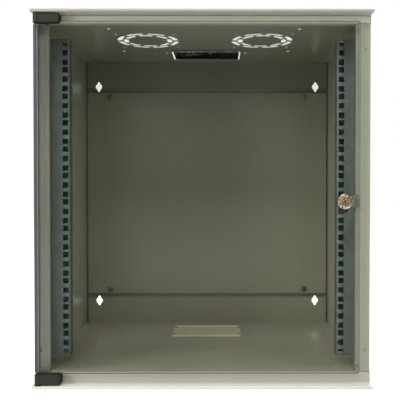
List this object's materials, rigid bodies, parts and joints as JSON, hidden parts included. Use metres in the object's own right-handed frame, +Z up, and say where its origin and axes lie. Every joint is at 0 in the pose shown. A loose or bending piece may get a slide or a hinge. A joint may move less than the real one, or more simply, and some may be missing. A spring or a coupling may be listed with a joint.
{
  "type": "wall mount network cabinet",
  "caption": "Wall mount 19 inch equipment cabinet with a frameless glass door on pivot hinges, a cam lock, front rails, roof fan vents and a brush cable entry",
  "frame": {"origin": "On the ground under the middle of the cabinet's box", "axes": "+X to the right seen from the front, +Y to the back (the wall), +Z up"},
  "size_m": [0.54, 0.4, 0.6],
  "materials": {
    "roof_panel": "light grey powder coat",
    "base_panel": "light grey powder coat",
    "side_panel_right": "light grey powder coat",
    "side_panel_left": "light grey powder coat",
    "front_top_rail": "light grey powder coat",
    "front_bottom_rail": "light grey powder coat",
    "rear_top_member": "light grey powder coat",
    "rear_bottom_member": "light grey powder coat",
    "rear_panel": "light grey powder coat",
    "rear_panel_screws": "zinc plated",
    "rack_rail_right": "grey powder coat",
    "rack_rail_left": "grey powder coat",
    "rail_bracket_right_low": "grey powder coat",
    "rail_bracket_left_low": "grey powder coat",
    "rail_bracket_right_high": "grey powder coat",
    "rail_bracket_left_high": "grey powder coat",
    "rail_bolts": "zinc plated",
    "rail_nuts": "zinc plated",
    "bracket_studs": "copper washed steel",
    "bracket_nuts": "zinc plated",
    "brush_holder_front": "mill finish",
    "brush_holder_rear": "mill finish",
    "brush_bristles_front": "nylon bristles",
    "brush_bristles_rear": "nylon bristles",
    "floor_cover": "cream powder coat",
    "floor_cover_screws": "zinc plated",
    "flange_studs": "zinc plated",
    "door_buffers": "soft",
    "strike_plate": "zinc plated",
    "strike_rivets": "plain",
    "hinge_bush_top": "nylon",
    "hinge_bush_bottom": "nylon",
    "door_glass": "smoked toughened glass",
    "door_edge_seal": "matt",
    "hinge_cap_top": "black powder coat on die cast zinc",
    "hinge_cap_bottom": "black powder coat on die cast zinc",
    "glass_pad_top": "soft",
    "glass_pad_bottom": "soft",
    "hinge_pin_top": "ground",
    "hinge_pin_bottom": "ground",
    "lock_body": "nickel plated",
    "lock_gasket": "soft",
    "lock_washer": "soft",
    "lock_nut": "zinc plated",
    "lock_plug": "worn nickel over brass",
    "lock_cam": "zinc plated",
    "cam_screw": "zinc plated"
  },
  "bodies": {
    "cabinet": {"roof_panel": "roof_panel", "base_panel": "base_panel", "side_panel_right": "side_panel_right", "side_panel_left": "side_panel_left", "front_top_rail": "front_top_rail", "front_bottom_rail": "front_bottom_rail", "rear_top_member": "rear_top_member", "rear_bottom_member": "rear_bottom_member", "rear_panel": "rear_panel", "rear_panel_screws": "rear_panel_screws", "rack_rail_right": "rack_rail_right", "rack_rail_left": "rack_rail_left", "rail_bracket_right_low": "rail_bracket_right_low", "rail_bracket_left_low": "rail_bracket_left_low", "rail_bracket_right_high": "rail_bracket_right_high", "rail_bracket_left_high": "rail_bracket_left_high", "rail_bolts": "rail_bolts", "rail_nuts": "rail_nuts", "bracket_studs": "bracket_studs", "bracket_nuts": "bracket_nuts", "brush_holder_front": "brush_holder_front", "brush_holder_rear": "brush_holder_rear", "brush_bristles_front": "brush_bristles_front", "brush_bristles_rear": "brush_bristles_rear", "floor_cover": "floor_cover", "floor_cover_screws": "floor_cover_screws", "flange_studs": "flange_studs", "door_buffers": "door_buffers", "strike_plate": "strike_plate", "strike_rivets": "strike_rivets", "hinge_bush_top": "hinge_bush_top", "hinge_bush_bottom": "hinge_bush_bottom"},
    "door": {"door_glass": "door_glass", "door_edge_seal": "door_edge_seal", "hinge_cap_top": "hinge_cap_top", "hinge_cap_bottom": "hinge_cap_bottom", "glass_pad_top": "glass_pad_top", "glass_pad_bottom": "glass_pad_bottom", "hinge_pin_top": "hinge_pin_top", "hinge_pin_bottom": "hinge_pin_bottom", "lock_body": "lock_body", "lock_gasket": "lock_gasket", "lock_washer": "lock_washer", "lock_nut": "lock_nut"},
    "lock_core": {"lock_plug": "lock_plug", "lock_cam": "lock_cam", "cam_screw": "cam_screw"}
  },
  "joints": [
    {"name": "door_hinge", "type": "hinge", "parent": "cabinet", "child": "door", "pos_m": [-0.261, -0.192, 0.3], "axis": [0, 0, -1], "range_deg": [0, 180]},
    {"name": "lock_turn", "type": "hinge", "parent": "door", "child": "lock_core", "pos_m": [0.227, -0.184, 0.297], "axis": [0, -1, 0], "range_deg": [0, 90]}
  ]
}
